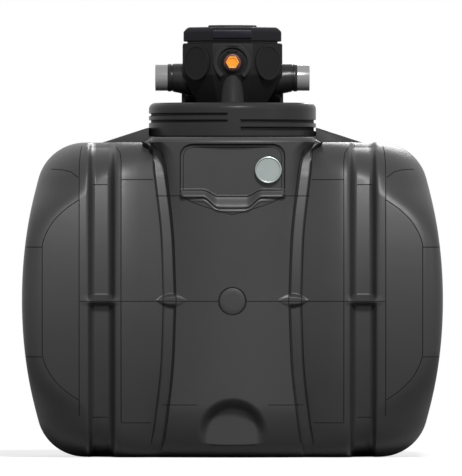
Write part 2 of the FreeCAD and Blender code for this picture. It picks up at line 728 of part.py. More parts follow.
def housing_pieces():
    """Make the filter housing: tapered foot, upper part, half rim, blank covers, boss, plug and riser."""
    narrow = "housing_foot_half_width"
    wide = "housing_half_width"
    foot_block = octagon_loft("foot_block", [(narrow, COVER_TOP), (wide, TAPER_TOP)])
    room_width = f"{wide} - housing_wall"
    foot_width = f"{narrow} - housing_wall"
    foot_room = octagon_loft("foot_room", [(foot_width, COVER_TOP), (room_width, TAPER_TOP)])
    top_block = octagon_loft("top_block", [(wide, TAPER_TOP), (wide, HOUSING_TOP)])
    rim_width = f"{wide} - housing_rim_width"
    room_steps = [(room_width, TAPER_TOP), (room_width, f"{HOUSING_TOP} - 2 * housing_rim_height"),
                  (rim_width, f"{HOUSING_TOP} - housing_rim_height"), (rim_width, HOUSING_TOP)]
    top_room = octagon_loft("top_room", room_steps)
    sleeve_hole = cylinder("sleeve_hole", "sleeve_radius", "sleeve_end * 2", x="-sleeve_end", z=PIPE_AXIS,
                           facing="right")
    rim_block = cylinder("rim_block", "rim_radius", "rim_height", z=COVER_TOP, angle=180)
    rim_room = cylinder("rim_room", "rim_radius - rim_wall", "rim_height", z=COVER_TOP)
    riser_block = cylinder("riser_block", "riser_radius", "housing_taper_height", y="-riser_place",
                           z=COVER_TOP)
    plug = doc.addObject("Part::Prism", "hex_plug")
    plug.Polygon = 6
    plug.Placement.Rotation = FACING["front"]
    boss_front = f"-({wide} + boss_thickness)"
    ring_front = f"{boss_front} - boss_ring_thickness"
    bind(plug, Circumradius="plug_radius", Height="plug_thickness", y=ring_front, z=BLANK_AXIS)
    pieces = {
        "housing_foot": cut("housing_foot", foot_block, foot_room, sleeve_hole),
        "housing_body": cut("housing_body", top_block, top_room, sleeve_hole),
        "housing_back_rim": cut("housing_back_rim", rim_block, rim_room),
        "riser_tube": cut("riser_tube", riser_block, foot_block),
        "plug_boss": cylinder("plug_boss", "boss_radius", "boss_thickness", y=f"-{wide}", z=BLANK_AXIS,
                              facing="front"),
        "plug_ring": cylinder("plug_ring", "boss_ring_radius", "boss_ring_thickness", y=boss_front,
                              z=BLANK_AXIS, facing="front"),
        "hex_plug": plug,
    }
    corners = {"front_right": 45, "back_right": 135, "back_left": 225, "front_left": 315}
    for corner, angle in corners.items():
        name = f"{corner}_blank_cover"
        blank = cylinder(name, "blank_radius", "blank_thickness", x=f"{wide} * sin({angle})",
                         y=f"-{wide} * cos({angle})", z=BLANK_AXIS)
        blank.Placement.Rotation = FreeCAD.Rotation(FreeCAD.Vector(0, 0, 1), angle) * FACING["front"]
        pieces[name] = blank
    return pieces


def lid_pieces():
    """Make the lid with its seal below, raised centre and front latch block."""
    seal_outer = "seal_half_width"
    seal_inner = f"{seal_outer} - seal_wall"
    seal_block = octagon_loft("seal_block", [(seal_outer, HOUSING_TOP), (seal_outer, SEAL_TOP)])
    seal_room = octagon_loft("seal_room", [(seal_inner, HOUSING_TOP), (seal_inner, SEAL_TOP)])
    wide = "lid_half_width"
    lid_steps = [(wide, SEAL_TOP), (wide, LID_SHOULDER), ("lid_top_half_width", LID_TOP)]
    latch_level = f"{SEAL_TOP} + latch_lift"
    latch_sides = ("-latch_width / 2", "latch_width / 2")
    latch_depth = (f"-({wide} + latch_thickness)", f"-{wide}")
    latch_rise = (latch_level, f"{latch_level} + latch_height")
    return {
        "lid_seal": cut("lid_seal", seal_block, seal_room),
        "housing_lid": octagon_loft("housing_lid", lid_steps),
        "lid_centre": cylinder("lid_centre", "lid_centre_radius", "lid_centre_thickness", z=LID_TOP),
        "lid_latch": box("lid_latch", latch_sides, latch_depth, latch_rise),
    }


def small_discs():
    """Make the round plate on the label pad and the disc on the parting line."""
    plate_back = f"-({PANEL_FRONT} - pad_depth)"
    disc_back = f"-({PANEL_FRONT} - disc_thickness)"
    return {
        "round_plate": cylinder("round_plate", "plate_radius", "plate_thickness", x="plate_place",
                                y=plate_back, z=PLATE_AXIS, facing="front"),
        "seam_disc": cylinder("seam_disc", "disc_radius", "disc_thickness", y=disc_back, z=MIDDLE,
                              facing="front"),
    }


def check_and_write(pieces):
    """Stop if anything failed, then write each piece's file."""
    doc.recompute()
    for item in doc.Objects:
        if "Invalid" in item.State or "Error" in item.State:
            raise RuntimeError(f"{item.Label} failed: {item.State}")
    for name, piece in pieces.items():
        if piece.Shape.isNull() or not piece.Shape.isValid() or not piece.Shape.Solids:
            raise RuntimeError(f"{name} has no valid shape")
    os.makedirs("parts", exist_ok=True)
    for name, piece in pieces.items():
        piece.Label = name
        piece.Shape.exportStep(f"parts/{name}.step")


all_pieces = shell_pieces()
all_pieces.update(neck_pieces())
all_pieces.update(housing_pieces())
all_pieces.update(lid_pieces())
all_pieces.update(pipe_pieces("inlet", -1))
all_pieces.update(pipe_pieces("outlet", 1))
all_pieces.update(small_discs())
check_and_write(all_pieces)
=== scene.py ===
import math
import bpy
import numpy as np
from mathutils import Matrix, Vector


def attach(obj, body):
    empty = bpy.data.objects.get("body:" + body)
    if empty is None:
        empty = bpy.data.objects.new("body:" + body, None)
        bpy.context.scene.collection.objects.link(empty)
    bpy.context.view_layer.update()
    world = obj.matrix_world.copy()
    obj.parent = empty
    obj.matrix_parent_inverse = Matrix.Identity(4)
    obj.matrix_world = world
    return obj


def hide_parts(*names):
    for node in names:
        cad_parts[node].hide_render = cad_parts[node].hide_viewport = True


# Underground water tank, dressed: moulded skins over the shell, a detailed neck and filter housing, and the
# studio. Shapes are worked out in millimetres in the CAD frame and become metres when a mesh is made.

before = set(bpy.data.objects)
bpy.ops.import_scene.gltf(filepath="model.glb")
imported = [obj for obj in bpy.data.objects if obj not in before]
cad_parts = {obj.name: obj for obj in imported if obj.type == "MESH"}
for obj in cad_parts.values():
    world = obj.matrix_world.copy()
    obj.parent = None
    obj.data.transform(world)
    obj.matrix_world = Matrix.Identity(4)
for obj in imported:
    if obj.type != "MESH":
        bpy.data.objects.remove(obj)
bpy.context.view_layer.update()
MM = 0.001

# Shell: overall form
HALF_LENGTH = 880.0
HALF_DEPTH = 650.0
MIDDLE = 660.0          # height of the parting line, and half the shell's height
SEAM = 640.0            # where a wall meets an end
SEAM_MARGIN = 25.0
TOP_RADIUS = 200.0
LEAN_AT_TOP = 260.5
BARREL_END = 510.0      # rise where the barrel form passes into the rounding
BARREL_INSET = 66.85
FOOT_RADIUS = 222.0
STRETCH_LIMIT = 2.2
ROUNDING_REACH = 0.97   # share of the rounding up to which its slope is worked out

# Shell: middle panel, side panels and the grooves between them
CROWN_RADIUS = 820.0
ROLL_FADE = 0.5
ROLL_FADE_START = 540.0
WAIST_INNER = 235.0     # edges of the bowed groove at the parting line
WAIST_OUTER = 289.0
WAIST_DEPTH = 6.0
FLANK_WIDTH = 11.0
LEDGE_WIDTH = 10.0
SHOULDER_WIDTH = 45.0
SHOULDER_DEPTH = 25.0
SHOULDER_RISE = (250.0, 600.0)
GROOVE_KNEE = 50.0      # depth from which the bowed groove deepens ever less
GROOVE_SPARE = 14.0
RIB_DEPTH = 52.0
RIB_INNER = 464.0
LENS_MIDDLE = 253.0     # lens-shaped web over the bowed groove
LENS_HALF = 64.0
LENS_INNER = LENS_MIDDLE - LENS_HALF
LENS_OUTER = LENS_MIDDLE + LENS_HALF
LENS_HEIGHT = 31.0
LENS_EDGE = 0.6         # share of its height over which the web rises
LENS_DROP = 2.0
LENS_LIFT = 0.5

# Shell: label pad with its ledge and lip, arched pocket, and the roof's step
PAD_DEPTH = 32.0
PAD_HALF_WIDTH = 218.0
PAD_TOP = 1310.0
PAD_CORNER = 55.0
PAD_EDGE = (4.0, -5.0)
LEDGE_SLOPE = 0.36
LEDGE_LEVEL = 0.75      # share of the crown that is levelled out on the ledge
LEDGE_LEVEL_AT = 110.0
LEDGE_EDGE = 5.0
LEDGE_END = (224.0, 206.0)
LIP_LIFT = 7.0
LIP_EDGE = (-11.0, -3.0)
STRAND_LIFT = 3.5
STRAND_DROP = 19.0
STRAND_EDGE = (6.0, 2.0)
STRAND_END = (190.0, 130.0)
ARCH_CENTRE = 100.0
ARCH_RADIUS = 151.0
ARCH_RUN = 50.0
ARCH_DEPTH = 78.0
STEP_RISE = 21.0
STEP_EDGE = (372.0, 330.0)
STEP_RUN = 24.0
WIDE_ROWS = 0.93        # share of the depth over which roof and floor have wide rows

# Neck, filter housing and small parts
PIPE_AXIS = 1594.0
BOSS_AXIS = 1656.0
DISC_HEIGHT = MIDDLE - 4
RAMP_FOOT = 1318.0
COLLAR_RADIUS = 352.0
NECK_TOP = 1488.0
NECK_ROUNDING = 27.0
GROOVE_DEPTH = 9.0
GROOVE_EDGE = 0.8
# Heights between which faces deep in the collar's grooves are coloured near-black as painted shade
GROOVE_SHADE_BAND = (1360, 1450)
# Bayonet grooves: middle height, height, and the angles from the front where each starts and ends
COLLAR_GROOVES = [(1438, 10, -172, -3.4), (1409, 11, -172, -3.4), (1409, 13, 5.4, 172), (1377, 15, 5.4, 172)]
RISER_AXIS = -162.0
RISER_BACK = -120.0
LATCH_MIDDLE = 1775.0
LATCH_HALF_WIDTH = 82.0
LATCH_HALF_HEIGHT = 17.0
SLEEVE_SIDES = 72

# Making of meshes and materials
CAP_RADIUS = 1.0        # a turned profile that ends within this radius is closed
MOST_CUT = 0.48         # most of an edge that the rounding of one corner takes
SHARP_ANGLE = 38        # degrees
GLOSS_SPREAD = 0.05
WAVE_DEPTH = 0.0016     # metres
BUMP_STRENGTH = 0.6

# Studio: lengths in metres, strengths of light and the floor's grey
FLOOR_HALF = 6.5
FLOOR_DROP = 0.0005
FLOOR_GREY = 0.45
FLOOR_GLOW = 0.74
WORLD_LIGHT = 0.15
LAMP_AIM = 0.8
CAMERA_DISTANCE = 70.0
CAMERA_SIDE = -0.006
CAMERA_HEIGHT = 0.919
CAMERA_REACH = 400
FRAME_HEIGHT = 2.005    # what the picture's height shows at the tank
SENSOR = 36.0           # millimetres


def hermite(knots):
    """Give a smooth curve through knots that never overshoots between them."""
    xs = np.array([knot[0] for knot in knots], float)
    ys = np.array([knot[1] for knot in knots], float)
    steps = np.diff(ys) / np.diff(xs)
    slopes = np.zeros_like(xs)
    same_way = steps[:-1] * steps[1:] > 0
    slopes[1:-1][same_way] = 2 / (1 / steps[:-1][same_way] + 1 / steps[1:][same_way])
    slopes[0] = steps[0]
    slopes[-1] = steps[-1]

    def curve(value):
        value = np.clip(value, xs[0], xs[-1])
        cell = np.clip(np.searchsorted(xs, value, side="right") - 1, 0, len(xs) - 2)
        width = xs[cell + 1] - xs[cell]
        part = (value - xs[cell]) / width
        start = (1 + 2 * part) * (1 - part) ** 2 * ys[cell] + part * (1 - part) ** 2 * width * slopes[cell]
        end = part ** 2 * (3 - 2 * part) * ys[cell + 1] + part ** 2 * (part - 1) * width * slopes[cell + 1]
        return start + end

    return curve


def ease(low, high, value):
    """Go smoothly from 0 at low to 1 at high."""
    part = np.clip((value - low) / (high - low), 0, 1)
    return part * part * (3 - 2 * part)


# Form of the shell: rise is the distance above or below the parting line, across the distance from the
# middle. An inset is how far a point lies behind the foremost plane of the front.
corner_line = hermite([(0, 794), (224, 794), (252, 788), (320, 754), (376, 701), (420, 639), (470, 570),
                       (530, 515), (600, 460), (660, 400)])
flared_inner_edge = hermite([(0, 235), (252, 244), (504, 271), (560, 279), (598, 286), (630, 300), (652, 321),
                             (660, 335)])
flared_outer_edge = hermite([(0, 289), (252, 298), (504, 325), (543, 330), (600, 333), (621, 336), (640, 350),
                             (655, 370), (660, 381)])
plain_inner_edge = hermite([(0, 235), (252, 244), (504, 271), (660, 297)])
plain_outer_edge = hermite([(0, 289), (252, 298), (504, 325), (660, 351)])
rib_profile = hermite([(464, 0), (480, 0.04), (489, 0.13), (506, 0.78), (516, 0.96), (522, 1), (572, 1),
                       (577, 0.96), (587, 0.8), (603, 0.14), (612, 0.05), (640, 0)])
panel_roll = hermite([(0, 0), (12, 1.3), (30, 4.6), (60, 12), (86, 20), (110, 28), (175, 50)])
rib_web = hermite([(-27, 0), (-22, 0.1), (-10, 0.86), (-5, 0.92), (0, 0.78), (20, 0.08), (25, 0)])
ledge_top = hermite([(0, 1091), (58, 1091), (124, 1117), (218, 1117)])
ledge_foot = hermite([(0, 1050), (58, 1051), (124, 1094), (218, 1094)])
lip_foot = hermite([(0, 1016), (90, 1042), (150, 1062), (200, 1086), (222, 1108)])


def leaning_inset(rise):
    """Inset of the walls that lean in like a barrel, with the rounding at the top or the foot."""
    over = np.clip(rise - (MIDDLE - TOP_RADIUS), 0, TOP_RADIUS)
    rounded_part = LEAN_AT_TOP - np.sqrt(TOP_RADIUS ** 2 - over ** 2)
    return np.where(rise < BARREL_END, BARREL_INSET * (rise / BARREL_END) ** 2, rounded_part)


def lean_stretch(rise):
    """How much longer a depth square to the leaning wall is when it is measured level, up to a limit."""
    over = np.clip(rise - (MIDDLE - TOP_RADIUS), 0, TOP_RADIUS * ROUNDING_REACH)
    slope = np.where(rise < BARREL_END, 2 * BARREL_INSET * rise / BARREL_END ** 2,
                     over / np.sqrt(TOP_RADIUS ** 2 - over ** 2))
    return np.minimum(np.hypot(1, slope), STRETCH_LIMIT)


def upright_inset(rise, radius):
    """Inset of an upright wall that ends in a rounding."""
    over = np.clip(rise - (MIDDLE - radius), 0, radius)
    return radius - np.sqrt(radius ** 2 - over ** 2)


def half_length(rise):
    """Half the shell's length at some rise."""
    return HALF_LENGTH - leaning_inset(rise)


def seam_place(rise):
    """Place of the seam between a wall and an end; it draws in where the shell does."""
    return np.minimum(SEAM, half_length(rise) - SEAM_MARGIN)


def corner_inset(across, rise):
    """Inset of the upright corners, whose radius grows towards the top and the foot."""
    half = half_length(rise)
    start = corner_line(rise)
    radius = half - start
    over = np.clip(across - start, 0, radius)
    return radius - np.sqrt(radius ** 2 - over ** 2)


def waist_edges(rise, upper):
    """Edges of the bowed groove beside the centre panel; above, they flare out under the neck step."""
    if upper:
        return flared_inner_edge(rise), flared_outer_edge(rise)
    return plain_inner_edge(rise), plain_outer_edge(rise)


def crown(across):
    """Inset of the centre panel, which is part of a wide upright cylinder."""
    return across ** 2 / (2 * CROWN_RADIUS)


def roll(across, rise):
    """Inset of a side panel, which rolls in from the deep groove to the bowed one, less so at its ends."""
    fade = 1 - ROLL_FADE * ease(ROLL_FADE_START, MIDDLE, rise)
    return panel_roll(np.maximum(RIB_INNER - across, 0)) * fade


def lens_share(across, height):
    """How much of the lens-shaped web over the bowed groove stands at a place near the parting line."""
    spread = np.clip(1 - ((across - LENS_MIDDLE) / LENS_HALF) ** 2, 0, 1)
    away = np.abs(height - MIDDLE + LENS_DROP)
    return ease(0, LENS_EDGE, np.clip(1 - away / np.maximum(LENS_HEIGHT * spread, 0.01), 0, 1))


def pad_inset(across, height):
    """Inset of the flat label pad, the sloping ledge below it and the lip that ends the ledge."""
    inside_x = PAD_HALF_WIDTH - PAD_CORNER
    inside_z = PAD_TOP - PAD_CORNER
    away = np.hypot(np.maximum(across - inside_x, 0), np.maximum(height - inside_z, 0)) - PAD_CORNER
    within = ease(*PAD_EDGE, away)
    top = ledge_top(across)
    foot = ledge_foot(across)
    onset = ease(foot + LIP_EDGE[0], foot + LIP_EDGE[1], height)
    level = LEDGE_LEVEL * (crown(LEDGE_LEVEL_AT) - crown(across)) * onset
    ledge = np.clip(height - foot, 0, top - foot) * LEDGE_SLOPE + level
    floor = within * (ledge + ease(top, top + LEDGE_EDGE, height) * (PAD_DEPTH - crown(across) - ledge))
    fade = ease(*LEDGE_END, across)
    lip = LIP_LIFT * onset * ease(top, foot, height)
    below = np.abs(height - foot + STRAND_DROP)
    strand = STRAND_LIFT * ease(*STRAND_EDGE, below) * ease(*STRAND_END, across)
    return floor - fade * (lip + strand)


def arch_inset(across, height, around):
    """Inset of the arched pocket at the foot, whose back stands upright behind the rounding around it."""
    outside = np.hypot(across, np.maximum(height - ARCH_CENTRE, 0)) - ARCH_RADIUS
    inside = ease(0, -ARCH_RUN, outside)
    return np.maximum(around, inside * ARCH_DEPTH + (1 - inside) * around) - around


def front_inset(x, rise, upper, face):
    """Inset of the front or back wall at a place, with all its grooves, webs, pad and pocket."""
    across = np.abs(x)
    height = MIDDLE + (rise if upper else -rise)
    inner, outer = waist_edges(rise, upper)
    side = leaning_inset(rise) + roll(across, rise)
    floor = leaning_inset(rise) + roll(outer, rise) + WAIST_DEPTH
    centre = crown(np.minimum(across, inner))
    if upper:
        shoulder = SHOULDER_DEPTH * ease(*SHOULDER_RISE, rise)
        edge = crown(inner) + shoulder
        centre = centre + shoulder * np.clip(1 - (inner - across) / SHOULDER_WIDTH, 0, 1) ** 2
    else:
        edge = crown(inner) + upright_inset(rise, FOOT_RADIUS)
        centre = centre + upright_inset(rise, FOOT_RADIUS)
        centre = centre + arch_inset(across, height, centre)
    depth = floor - edge
    spare = GROOVE_SPARE * np.tanh(np.maximum(depth - GROOVE_KNEE, 0) / GROOVE_SPARE)
    floor = edge + np.minimum(depth, GROOVE_KNEE + spare)
    inset = centre + (floor - centre) * ease(inner, inner + FLANK_WIDTH, across)
    inset = inset + (side - floor) * ease(outer - LEDGE_WIDTH, outer, across)
    bridge = crown(LENS_INNER) + (across - LENS_INNER) / (LENS_OUTER - LENS_INNER) * (
        roll(LENS_OUTER, 0) - crown(LENS_INNER)) - LENS_LIFT
    inset = inset + (bridge - inset) * lens_share(across, height)
    inset = inset + rib_profile(across) * RIB_DEPTH * lean_stretch(rise) * (1 - rib_web(height - MIDDLE))
    if upper and face == "front":
        inset = inset + pad_inset(across, height)
    return inset + corner_inset(across, rise)


def make_piece(name, points, faces, material, nodes=()):
    """Make a mesh from millimetre points, let it ride on the tank and stand for its CAD nodes."""
    mesh = bpy.data.meshes.new(name)
    mesh.from_pydata((np.asarray(points, float) * MM).tolist(), [], [list(face) for face in faces])
    mesh.validate()
    mesh.shade_smooth()
    mesh.materials.append(material)
    piece = bpy.data.objects.new(name, mesh)
    bpy.context.scene.collection.objects.link(piece)
    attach(piece, "root")
    if nodes:
        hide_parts(*nodes)
    return piece


def grid_faces(rows, columns, flip=False, closed=False):
    """Faces of a grid of points, row by row; a closed grid joins its last column to its first."""
    faces = []
    last = columns if closed else columns - 1
    for row in range(rows - 1):
        for column in range(last):
            beside = (column + 1) % columns
            quad = [row * columns + column, row * columns + beside,
                    (row + 1) * columns + beside, (row + 1) * columns + column]
            faces.append(quad[::-1] if flip else quad)
    return faces


def spans(*stretches):
    """Places along a line: each stretch is its end and the spacing up to it, after the first place."""
    places = [stretches[0]]
    for end, spacing in stretches[1:]:
        count = max(1, round(abs(end - places[-1]) / spacing))
        places.extend(np.linspace(places[-1], end, count + 1)[1:])
    return np.array(places)


def rise_rows(upper, fine):
    """Rises of a wall's rows from the parting line outwards, close where the form turns."""
    if upper:
        first = [(34, 2.5 * fine), (340, 7 * fine), (500, 3 * fine)]
    else:
        first = [(34, 2.5 * fine), (390, 7 * fine)]
    return spans(0, *first, (600, 3 * fine), (636, 2.5 * fine), (652, 1.2 * fine), (658, 0.6 * fine),
                 (MIDDLE, 0.2 * fine))


def wall_columns(fine):
    """Places of a wall's columns on a scale where the bowed groove runs straight, from left to right."""
    right = spans(0, (WAIST_INNER, 3 * fine), (253, 1.8 * fine), (271, 4 * fine), (WAIST_OUTER, 1.8 * fine),
                  (RIB_INNER, 6 * fine), (526, 2.2 * fine), (570, 7 * fine), (SEAM, 2.2 * fine))
    return np.concatenate([-right[:0:-1], right])


def column_place(place, rise, upper):
    """Where a column runs at some rise: beside the bowed groove it bends, near the seam it draws in."""
    across = np.abs(place)
    inner, outer = waist_edges(rise, upper)
    centre = across * inner / WAIST_INNER
    waist = inner + (across - WAIST_INNER) / (WAIST_OUTER - WAIST_INNER) * (outer - inner)
    side = outer + (across - WAIST_OUTER) / (RIB_INNER - WAIST_OUTER) * (RIB_INNER - outer)
    rib = RIB_INNER + (across - RIB_INNER) * (seam_place(rise) - RIB_INNER) / (SEAM - RIB_INNER)
    bent = np.where(across < WAIST_INNER, centre, np.where(across < WAIST_OUTER, waist, side))
    bent = np.where(across < RIB_INNER, bent, rib)
    return np.sign(place) * bent


def wall_points(rise, upper, face, columns):
    """Points of a front or back wall over rows of rise."""
    rise_grid, place_grid = np.meshgrid(rise, columns, indexing="ij")
    x = column_place(place_grid, rise_grid, upper)
    depth = HALF_DEPTH - front_inset(x, rise_grid, upper, face)
    y = -depth if face == "front" else depth
    z = MIDDLE + (rise_grid if upper else -rise_grid)
    return np.stack([x, y, z], axis=-1)


def shell_walls(material):
    """Make the four walls."""
    for face, fine in (("front", 1.0), ("back", 1.9)):
        for upper in (True, False):
            rows = rise_rows(upper, fine)
            columns = wall_columns(fine)
            points = wall_points(rows, upper, face, columns)
            half = "upper" if upper else "lower"
            faces = grid_faces(len(rows), len(columns), flip=upper != (face == "front"))
            make_piece(f"{half}_{face}_skin", points.reshape(-1, 3), faces, material,
                       [f"{half}_{face}_wall"])


def end_path(rise, count):
    """Plan of the right end at some rise, from the front seam round to the back seam, evenly spaced."""
    half = float(half_length(rise))
    start = float(corner_line(rise))
    radius = half - start
    seam = float(seam_place(rise))
    depth = HALF_DEPTH - float(leaning_inset(rise))
    first_turn = math.asin(min(1.0, max(0.0, (seam - start) / radius)))
    turns = np.linspace(first_turn, math.pi / 2, 60)
    path = [np.stack([start + radius * np.sin(turns), -(depth - radius + radius * np.cos(turns))], axis=1)]
    if seam < start:
        flat = np.linspace(seam, start, 40)[:-1]
        path.insert(0, np.stack([flat, np.full_like(flat, -depth)], axis=1))
    front = np.concatenate(path)
    whole = np.concatenate([front, front[::-1] * (1, -1)])
    lengths = np.concatenate([[0], np.cumsum(np.hypot(*np.diff(whole, axis=0).T))])
    even = np.linspace(0, lengths[-1], count)
    return np.stack([np.interp(even, lengths, whole[:, axis]) for axis in (0, 1)], axis=1)


def shell_ends(material):
    """Make the four quarters of the ends; each closes over the edge of the roof or floor."""
    count = 200
    rows = spans(0, (460, 9), (600, 6), (640, 4), (655, 1.5), (MIDDLE, 0.4))
    plans = np.array([end_path(rise, count) for rise in rows])
    cap = plans[-1].copy()
    cap[:, 0] = float(seam_place(MIDDLE))
    plans = np.concatenate([plans, cap[None]])
    levels = np.append(rows, MIDDLE)
    for side, sign in (("right", 1), ("left", -1)):
        for upper in (True, False):
            x = plans[:, :, 0] * sign
            z = np.repeat((MIDDLE + (levels if upper else -levels))[:, None], count, axis=1)
            points = np.stack([x, plans[:, :, 1], z], axis=-1)
            faces = grid_faces(len(levels), count, flip=upper != (sign > 0))
            half = "upper" if upper else "lower"
            make_piece(f"{half}_{side}_end_skin", points.reshape(-1, 3), faces, material,
                       [f"{half}_{side}_end"])


def shell_plates(material):
    """Make the roof with the step that carries the neck, and the floor."""
    columns = wall_columns(1.9)
    for upper, name, node in ((True, "roof_skin", "tank_roof"), (False, "floor_skin", "tank_floor")):
        edge = wall_points(np.array([MIDDLE]), upper, "back", columns)[0]
        shares = np.concatenate([np.linspace(-1, -WIDE_ROWS, 16)[:-1], np.linspace(-WIDE_ROWS, WIDE_ROWS, 60),
                                 np.linspace(WIDE_ROWS, 1, 16)[1:]])
        x = np.repeat(edge[None, :, 0], len(shares), axis=0)
        y = shares[:, None] * edge[None, :, 1]
        z = np.full_like(x, edge[0, 2])
        if upper:
            behind = (1 - np.abs(shares[:, None])) * edge[None, :, 1]
            step = ease(*STEP_EDGE, np.abs(x)) * np.sqrt(np.clip(behind / STEP_RUN, 0, 1))
            z = z + STEP_RISE * step
        points = np.stack([x, y, z], axis=-1)
        faces = grid_faces(len(shares), len(columns), flip=not upper)
        make_piece(name, points.reshape(-1, 3), faces, material, [node])


def rounded(corners, closed=False, steps=5):
    """Round the corners of a flat line; each corner is x, y and how far before it the rounding starts."""
    path = []
    count = len(corners)
    for index, (x, y, cut) in enumerate(corners):
        here = np.array((x, y), float)
        if not closed and index in (0, count - 1) or cut == 0:
            path.append(here)
            continue
        before = np.array(corners[index - 1][:2], float) - here
        after = np.array(corners[(index + 1) % count][:2], float) - here
        start = here + before * min(MOST_CUT, cut / np.linalg.norm(before))
        end = here + after * min(MOST_CUT, cut / np.linalg.norm(after))
        for part in np.linspace(0, 1, steps + 1):
            path.append((1 - part) ** 2 * start + 2 * part * (1 - part) * here + part ** 2 * end)
    return np.array(path)


def sharpen(piece):
    """Keep the shading crisp over sharp edges."""
    piece.data.set_sharp_from_angle(angle=math.radians(SHARP_ANGLE))
    return piece


def lathe(name, profile, origin, axis, material, nodes=(), turn=(0, 360), count=96, relief=None):
    """Turn a profile of radius and distance along the axis; a part turn gets end faces."""
    profile = np.array(profile, float)
    along = Vector(axis).normalized()
    up = Vector((0, 1, 0)) if abs(along.z) > 0.9 else Vector((0, 0, 1))
    side = up.cross(along).normalized()
    whole = turn[1] - turn[0] >= 360
    angles = np.radians(np.linspace(*turn, count, endpoint=not whole))
    radius = np.repeat(profile[:, :1], count, axis=1)
    level = np.repeat(profile[:, 1:], count, axis=1)
    if relief:
        radius = radius - relief(np.degrees(angles)[None, :], level)
    spread = radius * np.cos(angles), radius * np.sin(angles)
    points = (np.array(origin) + spread[0][..., None] * np.array(up) + spread[1][..., None] * np.array(side)
              + level[..., None] * np.array(along))
    rows = len(profile)
    faces = grid_faces(rows, count, closed=whole)
    if whole:
        if profile[0, 0] < CAP_RADIUS:
            faces.append(list(range(count))[::-1])
        if profile[-1, 0] < CAP_RADIUS:
            faces.append(list(range((rows - 1) * count, rows * count)))
    else:
        faces.append([row * count for row in range(rows)])
        faces.append([row * count + count - 1 for row in range(rows)][::-1])
    return sharpen(make_piece(name, points.reshape(-1, 3), faces, material, nodes))


def stack(name, rings, material, nodes=(), caps=(True, True)):
    """Join closed rings of points, one above the other, and close the ends."""
    rings = np.array(rings, float)
    rows, count = rings.shape[:2]
    faces = grid_faces(rows, count, closed=True)
    if caps[0]:
        faces.append(list(range(count))[::-1])
    if caps[1]:
        faces.append(list(range((rows - 1) * count, rows * count)))
    return sharpen(make_piece(name, rings.reshape(-1, 3), faces, material, nodes))


def octagon(half, cut):
    """Plan of a regular octagon with softened corners, anticlockwise from above."""
    short = half * math.tan(math.pi / 8)
    corners = [(half, -short), (half, short), (short, half), (-short, half), (-half, short), (-half, -short),
               (-short, -half), (short, -half)]
    return rounded([(x, y, cut) for x, y in corners], closed=True)


def level_ring(plan, height):
    """Points of a plan at one height."""
    return np.column_stack([plan, np.full(len(plan), height)])


def octagons(levels):
    """Rings of octagons from their heights, half widths and corner cuts."""
    return [level_ring(octagon(half, cut), height) for height, half, cut in levels]


def wall_place(x, height):
    """Place on the front wall at some x and height."""
    x = np.asarray(x, float)
    height = np.asarray(height, float)
    rise = np.abs(height - MIDDLE)
    inset = np.where(height >= MIDDLE, front_inset(x, rise, True, "front"),
                     front_inset(x, rise, False, "front"))
    return np.stack([x, inset - HALF_DEPTH, height], axis=-1)


def densified(path, spacing=5.0):
    """Add points along a line of x and height."""
    path = np.array(path, float)
    lengths = np.concatenate([[0], np.cumsum(np.hypot(*np.diff(path, axis=0).T))])
    even = np.linspace(0, lengths[-1], max(2, round(lengths[-1] / spacing) + 1))
    return np.stack([np.interp(even, lengths, path[:, axis]) for axis in (0, 1)], axis=1)


def beads(name, paths, width, lift, material):
    """Lay thin beads along lines on the front wall."""
    points = []
    faces = []
    for path in paths:
        path = densified(path)
        ahead = np.gradient(path, axis=0)
        ahead = ahead / np.linalg.norm(ahead, axis=1)[:, None]
        across = np.stack([-ahead[:, 1], ahead[:, 0]], axis=1)
        start = len(points)
        for share, rise in ((-0.5, -0.3), (-0.2, lift), (0.2, lift), (0.5, -0.3)):
            line = path + across * share * width
            row = wall_place(line[:, 0], line[:, 1]) - (0, rise, 0)
            points.extend(row.tolist())
        for face in grid_faces(4, len(path)):
            faces.append([start + corner for corner in face])
    return make_piece(name, points, faces, material)


def mirrored(paths):
    """Lines and their mirror images left and right."""
    return [np.array(path, float) * (sign, 1) for path in paths for sign in (1, -1)]


